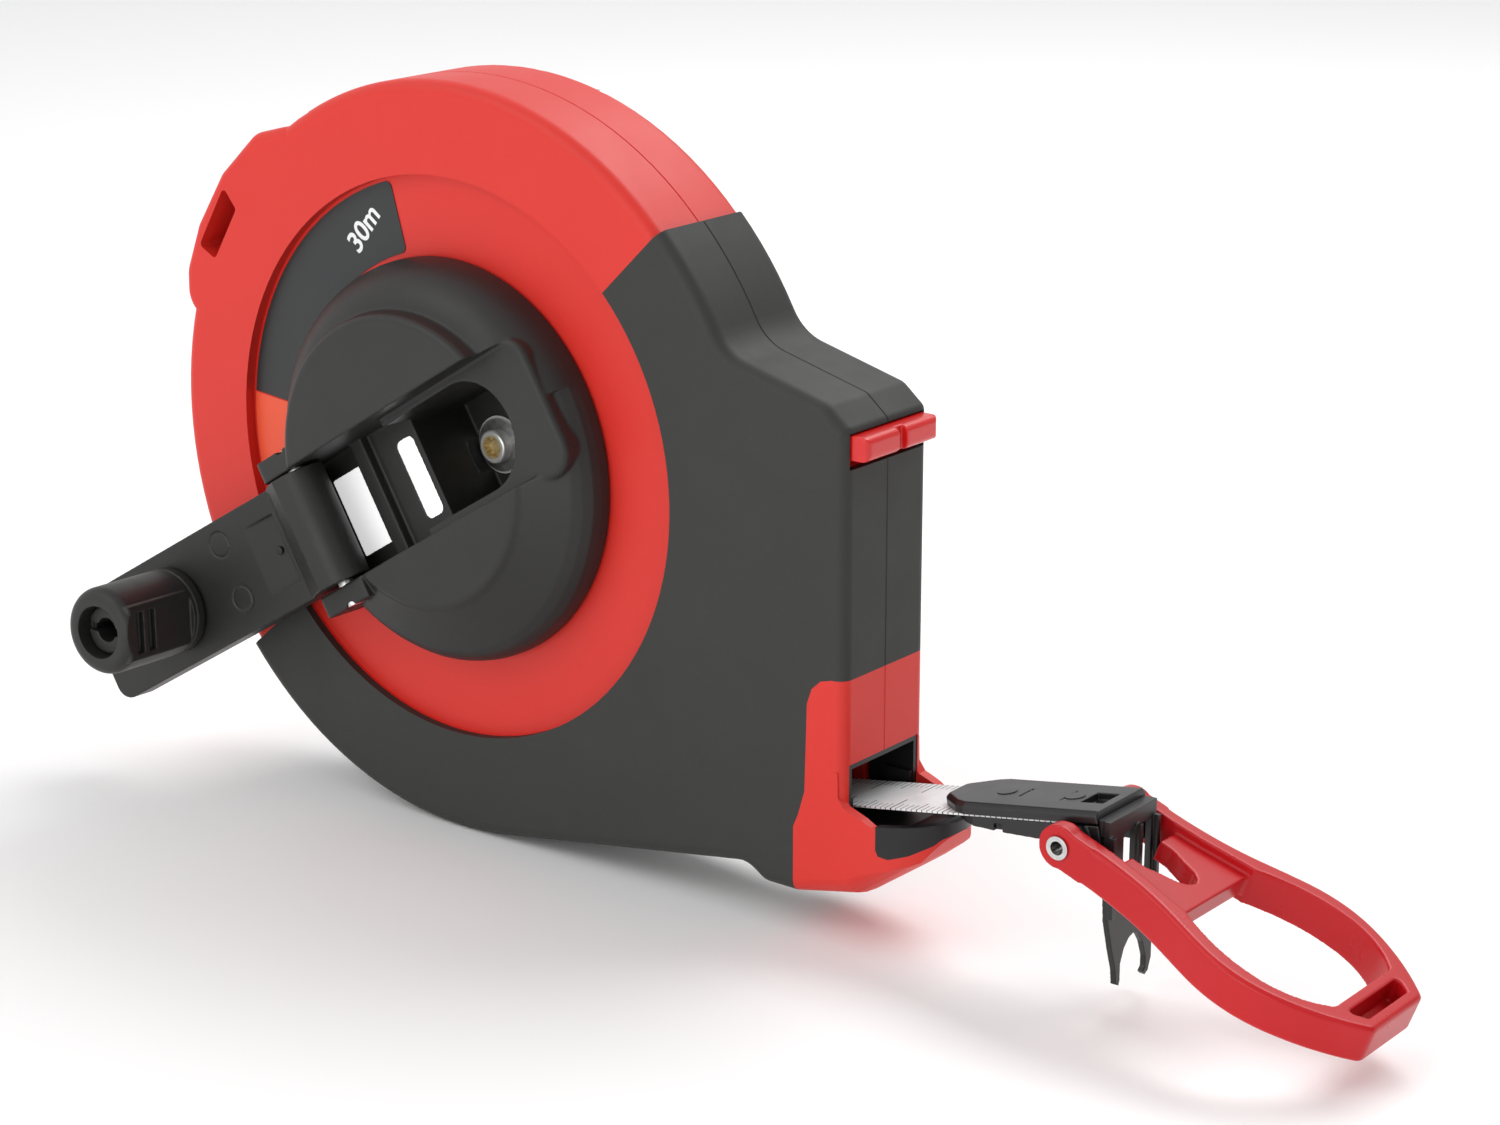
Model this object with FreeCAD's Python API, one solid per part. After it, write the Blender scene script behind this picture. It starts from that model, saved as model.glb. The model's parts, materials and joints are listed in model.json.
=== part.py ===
import FreeCAD, Part
import math
import os

# Closed-case long measuring tape with a folding crank, claw hook and pull ring.
#
# Millimetres. X points towards the nose, Z up, Y through the case. While the parts
# are modelled, Y counts from the crank-side face of the case (y = 0) to the back
# face (y = CASE_DEPTH), and the drum axis is the line x = z = 0. Every finished part
# is then moved by -CASE_DEPTH along Y, so that the origin is the point where the
# drum axis meets the flat back face.

# ---------------------------------------------------------------- driving sizes
CASE_DEPTH = 22.0          # thickness of the case
SEAM = CASE_DEPTH / 2      # mid plane where the two shells meet
CASE_R = 63.4              # red round case
GRIP_R = 64.9              # rubber skin round the belly
GRIP_DROP = 0.85           # how far the skin's circle sits below the drum axis
SKIN = 1.5                 # rubber skin thickness
WALL = 3.5                 # from an outer face to the drum space
CAVITY_R = 59.5            # drum space
RIM_ROUND = 2.2            # rounding of the outer rims
SEAM_BEVEL = 0.18          # small bevel on each half where the shells meet

DISC_R = 48.0              # recessed disc round the crank hub
DISC_DEPTH = 2.0
HUB_HOLE_R = 25.3          # opening in the front shell for the hub's stub

GRIP_TOP_ANGLE = 44.0      # rubber skin runs clockwise from here ...
GRIP_END_ANGLE = 221.0     # ... to here, the rest of the rim is red

NOSE_X = 82.5              # front plane of the nose
NOSE_TOP_Z = 18.5
FOOT_Z = -58.8
BOTTOM_SLOPE = 9.3         # degrees, belly line from the round case to the foot
BEZEL_X = 75.5             # red bezel on the side face starts here
BEZEL_TOP_Z = -21.5
MOUTH_TOP_Z = -35.5
MOUTH_FLOOR_Z = -46.5

BLADE_W = 13.0
BLADE_T = 0.3
BLADE_SLOPE = 9.9          # degrees, rise of the straight blade towards the hook
CORE_R = 34.9              # drum core, where the winding starts
WINDING_R = 56.2           # full winding of 30 m
BLADE_R = WINDING_R + 0.3 + BLADE_T / 2   # distance of the blade's middle from the axis
HOOK_START = 88.0          # along the blade, from where it leaves the winding
HOOK_END = 118.6
BLADE_END = 112.0

HUB_R = 34.3               # crank hub
HUB_TOP = -12.0
HUB_BASE = DISC_DEPTH - 0.3
STUB_R = 24.8
SLOT_ANGLE = 31.5          # degrees, the crank slot's direction above +X
SLOT_HALF = 10.8
POCKET_R = 9.3
POCKET_X = 12.5
POCKET_FLOOR = 13.3

HINGE_X = -26.5            # crank hinge, along the slot and in depth
HINGE_Y = -7.5
HINGE_PIN_R = 1.5
ARM_HALF = 10.2
ARM_END = 60.0             # from the hinge to the arm's end
ARM_BACK = 4.5             # the arm's outer face when folded, from the hinge axis
ARM_FACE = 0.5             # its inner face, which carries the knob
ARM_TILT = 6.0             # degrees, lean away from the case when open
KNOB_AT = 39.0             # from the hinge to the knob's axis
KNOB_R = 7.7
KNOB_END = 20.0            # from the hinge plane to the knob's end
STUD_R = 3.5
FACET_TURN = 118.0         # degrees, the knob's thumb facet about its axis

AXLE_R = 3.0
RUNNING = 0.05             # radial clearance of a running fit

PIVOT_X, PIVOT_Z = 122.3, -38.7   # ring pivot
RING_SLOPE = 20.5          # degrees, the ring hangs this far below level
RING_HALF_T = 3.2
RING_END = 54.0
RING_HALF_W = 10.9         # half width across the arms
RING_WALL = 2.7
RING_PIN_R = 1.55
RIVETS_AT = (98.0, 110.5)  # along the blade
HOOK_PLATE_T = 1.9         # upper plate of the end fitting
CHEEK_IN = 5.0             # half distance between the cheeks that carry the ring
CLAW_BACK = 127.6          # the claw plate's two faces
CLAW_FRONT = 128.6

SCREW_R = 1.2
SCREW_HEAD_R = 1.9
RIM_SCREWS = [(61.2, 75.0), (61.2, 128.0), (61.2, 192.0)]   # radius, angle
NOSE_SCREWS = [(75.5, 5.0), (78.8, -53.2)]                  # x, z

BUTTON_Z = (13.7, 17.6)
BUTTON_TRAVEL = 1.2

ORIGIN = FreeCAD.Vector(0, 0, 0)
ALONG_X = FreeCAD.Vector(1, 0, 0)
ALONG_Y = FreeCAD.Vector(0, 1, 0)
ALONG_Z = FreeCAD.Vector(0, 0, 1)


# ---------------------------------------------------------------- helpers
def vec(x, y, z):
    return FreeCAD.Vector(x, y, z)


def polar(radius, angle):
    """Point at an angle in degrees above +X, as x and z."""
    turn = math.radians(angle)
    return radius * math.cos(turn), radius * math.sin(turn)


def box(x, y, z):
    """Box from three (low, high) pairs."""
    size = [high - low for low, high in (x, y, z)]
    return Part.makeBox(size[0], size[1], size[2], vec(x[0], y[0], z[0]))


def disc(radius, y0, y1, x=0.0, z=0.0):
    """Cylinder along Y."""
    return Part.makeCylinder(radius, y1 - y0, vec(x, y0, z), ALONG_Y)


def tube(outer, inner, y0, y1, x=0.0, z=0.0):
    return disc(outer, y0, y1, x, z).cut(disc(inner, y0 - 1, y1 + 1, x, z))


def prism(points, y0, y1):
    """Polygon of (x, z) points, extruded along Y."""
    corners = [vec(x, y0, z) for x, z in points]
    face = Part.Face(Part.makePolygon(corners + corners[:1]))
    return face.extrude(vec(0, y1 - y0, 0))


def sector(radius, start, end, y0, y1, inner=0.0):
    """Pie slice about the drum axis, from start to end degrees, counter-clockwise."""
    steps = max(2, int((end - start) / 30) + 1)
    far = radius / math.cos(math.radians((end - start) / steps / 2)) + 0.01
    rim = [polar(far, start + (end - start) * i / steps) for i in range(steps + 1)]
    wedge = prism([(0, 0)] + rim, y0, y1)
    ring = disc(radius, y0, y1)
    if inner > 0:
        ring = ring.cut(disc(inner, y0 - 1, y1 + 1))
    return wedge.common(ring)


def joined(shapes):
    result = shapes[0]
    if len(shapes) > 1:
        result = shapes[0].multiFuse(shapes[1:])
    return result.removeSplitter()


def rounded(shape, radius, chosen):
    """Fillet the edges that chosen(edge) picks, or leave the shape if none."""
    edges = [edge for edge in shape.Edges if chosen(edge)]
    if not edges:
        return shape
    return shape.makeFillet(radius, edges)


def outward(solid):
    """The solid with its faces turned the right way out."""
    if solid.Volume < 0:
        solid.reverse()
    return solid


def along(edge, axis):
    """True where an edge is straight and parallel to an axis."""
    ends = edge.Vertexes
    if len(ends) != 2:
        return False
    step = ends[1].Point.sub(ends[0].Point)
    if step.Length < 1e-6:
        return False
    return abs(abs(step.normalize().dot(axis)) - 1) < 1e-6


def on_plane(edge, y):
    box_ = edge.BoundBox
    return abs(box_.YMin - y) < 1e-4 and abs(box_.YMax - y) < 1e-4


def mirrored(shape):
    """The same shape on the other side of the seam."""
    return shape.mirror(vec(0, SEAM, 0), ALONG_Y)


def to_slot(shape):
    """From the hub's own frame, with the slot along X, to the part's frame."""
    shape = shape.copy()
    shape.rotate(ORIGIN, ALONG_Y, -SLOT_ANGLE)
    return shape


def to_arm(shape):
    """From the arm's own frame, level and open, to the part's frame."""
    shape = shape.copy()
    shape.rotate(vec(HINGE_X, HINGE_Y, 0), ALONG_Z, ARM_TILT)
    return to_slot(shape)


def to_blade(shape):
    """From the blade's frame (X along it, Z off its face) to the part's frame."""
    shape = shape.copy()
    shape.translate(vec(0, 0, -BLADE_R))
    shape.rotate(ORIGIN, ALONG_Y, -BLADE_SLOPE)
    return shape


def to_ring(shape):
    """From the ring's frame, pivot at the origin and level, to the part's frame."""
    shape = shape.copy()
    shape.rotate(ORIGIN, ALONG_Y, RING_SLOPE)
    shape.translate(vec(PIVOT_X, SEAM, PIVOT_Z))
    return shape


# ---------------------------------------------------------------- case
def nose_outline(inset):
    """The nose and belly wedge seen from the side, less an inset of the skin."""
    slope = math.tan(math.radians(BOTTOM_SLOPE))
    tangent_x = GRIP_R * math.sin(math.radians(BOTTOM_SLOPE))
    tangent_z = -GRIP_DROP - GRIP_R * math.cos(math.radians(BOTTOM_SLOPE))
    heel_x = 62.7
    heel_z = tangent_z + (heel_x - tangent_x) * slope
    return [
        (0, 0),
        (tangent_x, tangent_z + inset),
        (heel_x, heel_z + inset),
        (66.6, FOOT_Z + inset),
        (NOSE_X - inset, FOOT_Z + inset),
        (NOSE_X - inset, NOSE_TOP_Z - inset),
        (NOSE_X - 4.1 - inset / 2, NOSE_TOP_Z + 3.4 - inset),
        (57.5, 27.3 - inset),
    ]


def seam_bevelled(shape):
    """Bevel the outer edges of a half where it meets the other half."""
    edges = [edge for edge in shape.Edges if on_plane(edge, SEAM)]
    return shape.makeChamfer(SEAM_BEVEL, edges)


def half_outer():
    """Outside of the rubber-covered half, from the face to the seam."""
    wedge = prism(nose_outline(0), 0, SEAM)
    wedge = wedge.fuse(disc(GRIP_R, 0, SEAM, 0, -GRIP_DROP)).removeSplitter()
    upright = [
        ((57.5, 27.3), 9.0),
        ((62.7, -56.4), 5.0),
        ((66.6, FOOT_Z), 3.0),
        ((NOSE_X, FOOT_Z), 1.5),
        ((NOSE_X, NOSE_TOP_Z), 1.5),
        ((NOSE_X - 4.1, NOSE_TOP_Z + 3.4), 2.5),
    ]
    for (x, z), radius in upright:
        def near(edge, x=x, z=z):
            middle = edge.BoundBox.Center
            return along(edge, ALONG_Y) and math.hypot(middle.x - x, middle.z - z) < 2.5
        wedge = rounded(wedge, radius, near)
    return seam_bevelled(rounded(wedge, RIM_ROUND, lambda edge: on_plane(edge, 0)))


def half_disc():
    """Outside of the red round half, with its rounded rim."""
    half = rounded(disc(CASE_R, 0, SEAM), RIM_ROUND, lambda edge: on_plane(edge, 0))
    return seam_bevelled(half)


def red_zone():
    """Where the red shell shows: the upper rim, and the bezel and foot."""
    rim = sector(CASE_R + 4, GRIP_TOP_ANGLE, GRIP_END_ANGLE, -1, SEAM)
    bezel = prism([
        (BEZEL_X + 4.8, BEZEL_TOP_Z),
        (BEZEL_X + 2.6, BEZEL_TOP_Z - 0.6),
        (BEZEL_X + 0.9, BEZEL_TOP_Z - 2.2),
        (BEZEL_X, BEZEL_TOP_Z - 4.8),
        (BEZEL_X - 0.4, -41.0),
        (BEZEL_X - 1.6, -45.0),
        (72.9, -47.4),
        (72.9, -62.0),
        (NOSE_X + 2, -62.0),
        (NOSE_X + 2, BEZEL_TOP_Z),
    ], -1, SEAM)
    return rim, bezel


def lanyard_loop():
    """Bump with a slot for a wrist cord, at the upper back of the case."""
    bump = prism([
        polar(56, 120), (-36.0, 52.2), (-43.6, 50.2), (-52.2, 42.4),
        (-58.6, 32.8), (-62.0, 24.4), (-62.2, 18.0), polar(56, 166),
    ], 0, SEAM)
    bump = rounded(bump, 5.0, lambda edge: along(edge, ALONG_Y)
                   and edge.BoundBox.Center.Length > 62)
    bump = rounded(bump, 1.6, lambda edge: on_plane(edge, 0)
                   and math.hypot(edge.BoundBox.Center.x, edge.BoundBox.Center.z) > 57)
    slot = prism([(-57.9, 29.2), (-54.1, 27.2), (-48.3, 36.6), (-51.2, 40.2)],
                 -1, SEAM + 1)
    slot = rounded(slot, 0.8, lambda edge: along(edge, ALONG_Y))
    return bump, slot


def space_floor(x):
    """Z of the case's inner floor under the blade's straight run."""
    return -60.36 + x * math.tan(math.radians(BOTTOM_SLOPE))


def drum_space():
    """Room inside the case for the drum, the blade's straight run and the lock."""
    room = disc(CAVITY_R, WALL, SEAM + 1)
    nose = prism([
        (9.5, space_floor(9.5)), (73.0, space_floor(73.0)), (73.0, -36.0),
        (80.3, -36.0), (80.3, 9.5), (57.0, 15.5), (0, 0),
    ], WALL, SEAM + 1)
    rod_room = box((66.0, 76.5), (7.5, SEAM + 1), (0.0, BUTTON_Z[0] - 0.9))
    return room.fuse([nose, rod_room])


def mouth_space():
    return box((72.9, NOSE_X + 1), (1.8, SEAM + 1), (-47.6, MOUTH_TOP_Z))


def lip_plan(margin, z0, z1):
    """Rounded plan of the lip, as an upright elliptical column."""
    ellipse = Part.Ellipse(vec(0, 0, 0), 14.0 - margin, 11.0 - margin)
    face = Part.Face(Part.Wire([ellipse.toShape()]))
    column = face.extrude(vec(0, 0, z1 - z0))
    column.translate(vec(83.5, SEAM, z0))
    return column


def foot_section(x, points):
    """Closed wire across the case at x: rounded underside, open space above."""
    other = [(CASE_DEPTH - y, z) for y, z in reversed(points)]
    corners = [vec(x, y, z) for y, z in points + other + [(CASE_DEPTH, -30), (0, -30)]]
    return Part.makePolygon(corners + corners[:1])


def lip_bottom():
    """Everything above the rounded underside of the foot and the lip."""
    heel = foot_section(72.9, [(0, -56.6), (0.17, -57.45), (0.65, -58.15), (1.35, -58.63),
                               (2.2, FOOT_Z), (6.0, FOOT_Z)])
    toe = foot_section(83.5, [(0, -53.8), (0.6, -55.1), (1.6, -56.1), (3.2, -57.0),
                              (5.4, -57.6), (8.0, -57.9)])
    foot = outward(Part.makeLoft([heel, toe], True, True))
    tongue = outward(Part.Face(toe).extrude(vec(16, 0, 11.2)))
    return foot.fuse(tongue)


def lip_body():
    """Red spoon under the blade, both halves together."""
    side = prism([
        (78.0, FOOT_Z), (83.5, FOOT_Z + 0.1), (88.8, -54.9), (94.4, -49.9),
        (96.9, -46.3)] + lip_edge() + [
        (88.4, -44.3), (87.8, -44.2), (86.0, -43.3), (82.8, -42.2), (81.6, -40.6),
        (81.5, -36.5), (78.0, -36.5),
    ], 0, CASE_DEPTH)
    block = box((78.0, 83.5), (0, CASE_DEPTH), (-62, -30))
    plan = lip_plan(0, -62, -30).fuse(block)
    return side.common(plan).common(lip_bottom())


def lip_edge():
    """Line on the lip's side where the red body ends and the black liner starts."""
    return [(97.6, -45.6), (96.6, -46.1), (95.9, -46.9), (93.1, -48.4), (90.3, -49.2),
            (88.8, -48.8), (88.4, -47.8)]


def lip_floor():
    """Side outline of the liner's floor between the red cheeks."""
    return [(78.0, -47.6), (84.0, -48.6), (88.4, -48.6), (88.4, -46.7), (84.0, -46.2),
            (78.0, -45.6)]


def scoop_cup():
    """Black cup at the lip's end, over its full width."""
    side = prism([(88.4, -44.0)] + lip_edge()[::-1] + [(97.6, -43.9), (96.9, -43.5)],
                 0, CASE_DEPTH)
    hollow = prism([(80.0, -46.2), (88.4, -46.7), (92.4, -46.2), (95.0, -45.2),
                    (96.8, -43.8), (96.8, -30.0), (80.0, -30.0)], 0, CASE_DEPTH)
    hollow = hollow.common(lip_plan(1.4, -62, -20))
    return side.common(lip_plan(0, -62, -30)).cut(hollow)


def scoop_hollow():
    """What the liner's floor and the way above it take out of the red lip."""
    top = MOUTH_TOP_Z - 0.1
    side = [(77.0, -47.6), (78.0, -47.6), (84.0, -48.6), (88.5, -48.6), (88.5, top), (77.0, top)]
    return prism(side, 1.8, CASE_DEPTH - 1.8)


def button_recess():
    return box((79.6, NOSE_X + 3), (1.4, SEAM + 1), (BUTTON_Z[0] - 1.5, BUTTON_Z[1] + 0.3))


def rod_slot():
    """Way for the lock button's stem through the nose front."""
    return box((73.5, 84.0), (7.0, SEAM + 1), (BUTTON_Z[0] - 1.5, BUTTON_Z[1] + 0.3))


def screw_spots():
    return [polar(radius, angle) for radius, angle in RIM_SCREWS] + NOSE_SCREWS


def screw_holes():
    return [disc(SCREW_R, 4.0, CASE_DEPTH - 1.9, x, z) for x, z in screw_spots()]


def head_holes():
    return [disc(SCREW_HEAD_R + 0.1, CASE_DEPTH - 1.9, CASE_DEPTH + 1, x, z)
            for x, z in screw_spots()]


def shell_half():
    """Red shell, crank side, before the hub opening and the screw holes."""
    outer = half_outer()
    rim_zone, bezel_zone = red_zone()
    bump, slot = lanyard_loop()
    core = prism(nose_outline(SKIN), SKIN, SEAM)
    core = core.fuse(disc(GRIP_R - SKIN, SKIN, SEAM, 0, -GRIP_DROP))
    core = core.cut(sector(CASE_R + 4, GRIP_TOP_ANGLE, GRIP_END_ANGLE, -1, SEAM + 1, 30))
    red_round = half_disc().common(rim_zone)
    centre = disc(DISC_R, DISC_DEPTH, SEAM)
    bezel = outer.common(bezel_zone)
    whole = joined([core, red_round, centre, bezel, bump.cut(disc(60, -1, SEAM + 1))])
    whole = whole.cut(disc(DISC_R, -1, DISC_DEPTH))
    boss = disc(3.2, WALL, SEAM, *NOSE_SCREWS[0])
    whole = whole.cut(drum_space()).fuse(boss)
    whole = whole.cut([slot, mouth_space(), button_recess(), rod_slot()])
    foot = box((72.9, 83.0), (-1, SEAM + 1), (-62, -52)).cut(lip_bottom())
    whole = whole.cut(foot)
    lip = lip_body().common(box((77, 100), (0, SEAM), (-62, -30)))
    return joined([whole, lip]).cut([scoop_hollow(), mouth_space()])


def front_shell():
    shell = shell_half().cut(disc(HUB_HOLE_R, 0, WALL + 1))
    return shell.cut(screw_holes()).removeSplitter()


def back_shell():
    shell = mirrored(shell_half())
    plug = disc(DISC_R, CASE_DEPTH - DISC_DEPTH, CASE_DEPTH)
    groove = tube(DISC_R, DISC_R - 0.8, CASE_DEPTH - 0.5, CASE_DEPTH + 1)
    shell = joined([shell, plug]).cut(groove)
    return shell.cut(screw_holes() + head_holes()).removeSplitter()


def grip_half():
    """Rubber skin over the nose and belly, crank side."""
    rim_zone, bezel_zone = red_zone()
    core = prism(nose_outline(SKIN), SKIN, SEAM + 1)
    core = core.fuse(disc(GRIP_R - SKIN, SKIN, SEAM + 1, 0, -GRIP_DROP))
    skin = half_outer().cut([core, rim_zone, bezel_zone, disc(DISC_R, -1, SEAM + 1)])
    skin = skin.cut([button_recess(), box((NOSE_X - 0.4, 110), (-1, 30), (-62, -30))])
    biggest = max(skin.Solids, key=lambda solid: solid.Volume)
    return biggest


def back_grip():
    return mirrored(grip_half()).cut(head_holes()).removeSplitter()


def mouth_liner():
    """Black frame inside the mouth, with the scoop that lines the lip."""
    sleeve = box((73.6, NOSE_X - 0.2), (1.8, CASE_DEPTH - 1.8), (-47.6, MOUTH_TOP_Z))
    bore = box((70, 90), (2.7, CASE_DEPTH - 2.7), (MOUTH_FLOOR_Z, MOUTH_TOP_Z - 0.9))
    floor = prism(lip_floor(), 1.8, CASE_DEPTH - 1.8)
    ribs = [box((77.0, NOSE_X - 0.4), (y, y + 0.7), (-46.5, -41.5))
            for y in (2.7, CASE_DEPTH - 3.4)]
    return joined([sleeve.cut(bore), floor, scoop_cup()] + ribs)


def case_screws():
    screws = []
    for x, z in screw_spots():
        head = disc(SCREW_HEAD_R, CASE_DEPTH - 1.9, CASE_DEPTH - 0.4, x, z)
        cross = box((x - 1.3, x + 1.3), (CASE_DEPTH - 1.2, CASE_DEPTH), (z - 0.3, z + 0.3))
        other = box((x - 0.3, x + 0.3), (CASE_DEPTH - 1.2, CASE_DEPTH), (z - 1.3, z + 1.3))
        shank = disc(SCREW_R, 5.0, CASE_DEPTH - 1.9, x, z)
        screws.append(head.fuse(shank).cut([cross, other]))
    return Part.makeCompound(screws)


def label(start, end, round_end):
    """Film on the disc round the hub, with the corners of one end rounded."""
    film = sector(47.4, start, end, DISC_DEPTH - 0.15, DISC_DEPTH, HUB_R + 0.9)
    def near(edge):
        middle = edge.BoundBox.Center
        angle = math.degrees(math.atan2(middle.z, middle.x)) % 360
        return along(edge, ALONG_Y) and abs(angle - round_end) < 1
    return rounded(film, 1.2, near)


# ---------------------------------------------------------------- axle and drum
def axle_post():
    post = disc(AXLE_R, POCKET_FLOOR - 0.1, CASE_DEPTH - WALL)
    flange = disc(8.0, 17.3, CASE_DEPTH - WALL)
    return joined([post, flange]).cut(disc(1.5, 0, 18.0))


def axle_bush():
    return tube(5.0, AXLE_R + RUNNING, POCKET_FLOOR, 17.0)


def hub_washer():
    return tube(4.6, 1.5, POCKET_FLOOR - 0.4, POCKET_FLOOR - 0.1)


def star_socket(radius, depth, y0):
    """Six-lobed driver socket."""
    lobes = [disc(radius * 0.27, y0, y0 + depth, *polar(radius * 0.73, 60 * i))
             for i in range(6)]
    return joined([disc(radius * 0.68, y0, y0 + depth)] + lobes)


def hub_screw():
    top = POCKET_FLOOR - 2.3
    head = disc(2.9, top, POCKET_FLOOR - 0.4)
    head = rounded(head, 0.5, lambda edge: on_plane(edge, top))
    shank = disc(1.5, POCKET_FLOOR - 0.4, 18.0)
    return joined([head, shank]).cut(star_socket(1.9, 1.4, top - 0.1))


def drum_core():
    edge = SEAM - BLADE_W / 2 - 0.1
    core = tube(CORE_R, CORE_R - 2.5, edge, CASE_DEPTH - edge)
    inner = tube(STUB_R + 2.0, STUB_R, edge, CASE_DEPTH - edge)
    spokes = [box((STUB_R + 1, CORE_R - 1), (edge, CASE_DEPTH - edge), (-0.9, 0.9))
              for _ in range(6)]
    for i, spoke in enumerate(spokes):
        spoke.rotate(ORIGIN, ALONG_Y, 60 * i)
    return joined([core, inner] + spokes)


def drum_flange():
    """Thin round plate beside the winding, with six lightening holes."""
    face = SEAM - BLADE_W / 2 - 0.6
    plate = tube(57.6, STUB_R, face, face + 0.5)
    holes = [disc(6.0, face - 1, face + 1, *polar(45.5, 60 * i)) for i in range(6)]
    return plate.cut(holes)


def blade_winding():
    return tube(WINDING_R, CORE_R, SEAM - BLADE_W / 2, SEAM + BLADE_W / 2)


# ---------------------------------------------------------------- crank hub
def turned(profile):
    """Solid of revolution about the drum axis from (radius, y) points."""
    corners = [vec(radius, y, 0) for radius, y in profile]
    face = Part.Face(Part.makePolygon(corners + corners[:1]))
    return face.revolve(ORIGIN, ALONG_Y, 360)


def hub_blank():
    """Turned outside of the hub: raised pad above the slot, dished below it."""
    start = vec(0, HUB_BASE, 0)
    edges = [
        Part.makeLine(start, vec(HUB_R, HUB_BASE, 0)),
        Part.makeLine(vec(HUB_R, HUB_BASE, 0), vec(HUB_R, 0, 0)),
        Part.Arc(vec(HUB_R, 0, 0), vec(32.2, -5.6, 0), vec(27.2, -8.8, 0)).toShape(),
        Part.makeLine(vec(27.2, -8.8, 0), vec(26.9, -10.8, 0)),
        Part.Arc(vec(26.9, -10.8, 0), vec(26.4, -11.7, 0), vec(25.4, HUB_TOP, 0)).toShape(),
        Part.makeLine(vec(25.4, HUB_TOP, 0), vec(0, HUB_TOP, 0)),
        Part.makeLine(vec(0, HUB_TOP, 0), start),
    ]
    raised = Part.Face(Part.Wire(edges)).revolve(ORIGIN, ALONG_Y, 360)
    raised = raised.common(box((-40, 40), (-20, 10), (0, 40)))
    dished = turned([(0, HUB_BASE), (HUB_R, HUB_BASE), (HUB_R, -0.4), (33.9, -2.0),
                     (32.9, -3.6), (31.6, -4.8), (30.8, -5.2), (24.0, -8.3), (23.2, -9.0),
                     (22.6, -9.2), (0, -9.4)])
    dished = dished.common(box((-40, 40), (-20, 10), (-40, 0)))
    return raised.fuse([dished, disc(STUB_R, HUB_BASE, 17.0)])


def hub_ears():
    """Two lugs that hold the crank's hinge pin, the lower one with a notch."""
    ears = []
    for side, top in ((-1, -9.2), (1, -10.2)):
        low, high = sorted((side * SLOT_HALF, side * 14.6))
        ear = box((-33.4, -21.0), (top, 0), (low, high))
        ear = rounded(ear, 1.8, lambda edge: along(edge, ALONG_Z)
                      and edge.BoundBox.Center.x < -30 and edge.BoundBox.Center.y < -5)
        notch = disc(1.1, -12, -1.0, -26.0, side * 15.0)
        ears.append(ear.cut(notch))
    return ears


def thumb_pad():
    """Ledge beyond the knob pocket, under the folded arm's end."""
    pad = box((20.0, 32.2), (-6.7, 0.5), (-12.6, 11.9))
    pad = rounded(pad, 5.0, lambda edge: along(edge, ALONG_Y)
                  and edge.BoundBox.Center.x > 30)
    return rounded(pad, 1.2, lambda edge: on_plane(edge, -6.7)
                   and edge.BoundBox.Center.x > 20.5)


def crank_hub():
    hub = joined([hub_blank(), thumb_pad()] + hub_ears())
    slot = box((-40, 40), (HUB_TOP - 1, -6.7), (-SLOT_HALF, SLOT_HALF))
    low_slot = box((-40, -4), (-7, 0), (-SLOT_HALF, SLOT_HALF))
    pocket = disc(POCKET_R, -7, POCKET_FLOOR, POCKET_X, 0)
    well = box((-4, POCKET_X), (-7, POCKET_FLOOR), (-POCKET_R, POCKET_R))
    windows = [box((-27.6, -18.8), (-1, 0.3), (-7.0, 7.0)),
               rounded(box((-9.8, -5.4), (-1, 0.3), (-7.0, 7.0)), 1.2,
                       lambda edge: along(edge, ALONG_Y))]
    plates = [box((-28.4, -18.0), (0.3, 1.6), (-7.8, 7.8)),
              box((-10.6, -4.6), (0.3, 1.6), (-7.8, 7.8))]
    swing = Part.makeCylinder(51.4, 40, vec(HINGE_X, HINGE_Y, -20), ALONG_Z)
    swing = swing.common(disc(POCKET_R, -7, 10.0, POCKET_X + 1.6, 0))
    pin_hole = Part.makeCylinder(HINGE_PIN_R, 40, vec(HINGE_X, HINGE_Y, -20), ALONG_Z)
    hub = hub.cut([slot, low_slot, pocket, well, swing, pin_hole, disc(5.0, 10, 18)])
    crossbar = box((-18.4, -15.2), (-1.8, 0), (-SLOT_HALF, SLOT_HALF))
    sill = box((-33.2, -31.0), (-3.1, 0), (-SLOT_HALF, SLOT_HALF))
    return to_slot(joined([hub, crossbar, sill]).cut(windows + plates))


def window_plates():
    """White plates behind the two windows in the hub's floor."""
    plates = [box((-28.4, -18.0), (0.3, 1.6), (-7.8, 7.8)),
              box((-10.6, -4.6), (0.3, 1.6), (-7.8, 7.8))]
    return to_slot(Part.makeCompound(plates))


# ---------------------------------------------------------------- crank
def crank_hinge_pin():
    pin = Part.makeCylinder(HINGE_PIN_R, 29.0, vec(HINGE_X, HINGE_Y, -14.5), ALONG_Z)
    return to_slot(pin)


def arm_point(reach, height):
    """A point of the level arm: reach from the hinge, height towards the knob."""
    return HINGE_X - reach, HINGE_Y - height


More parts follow.
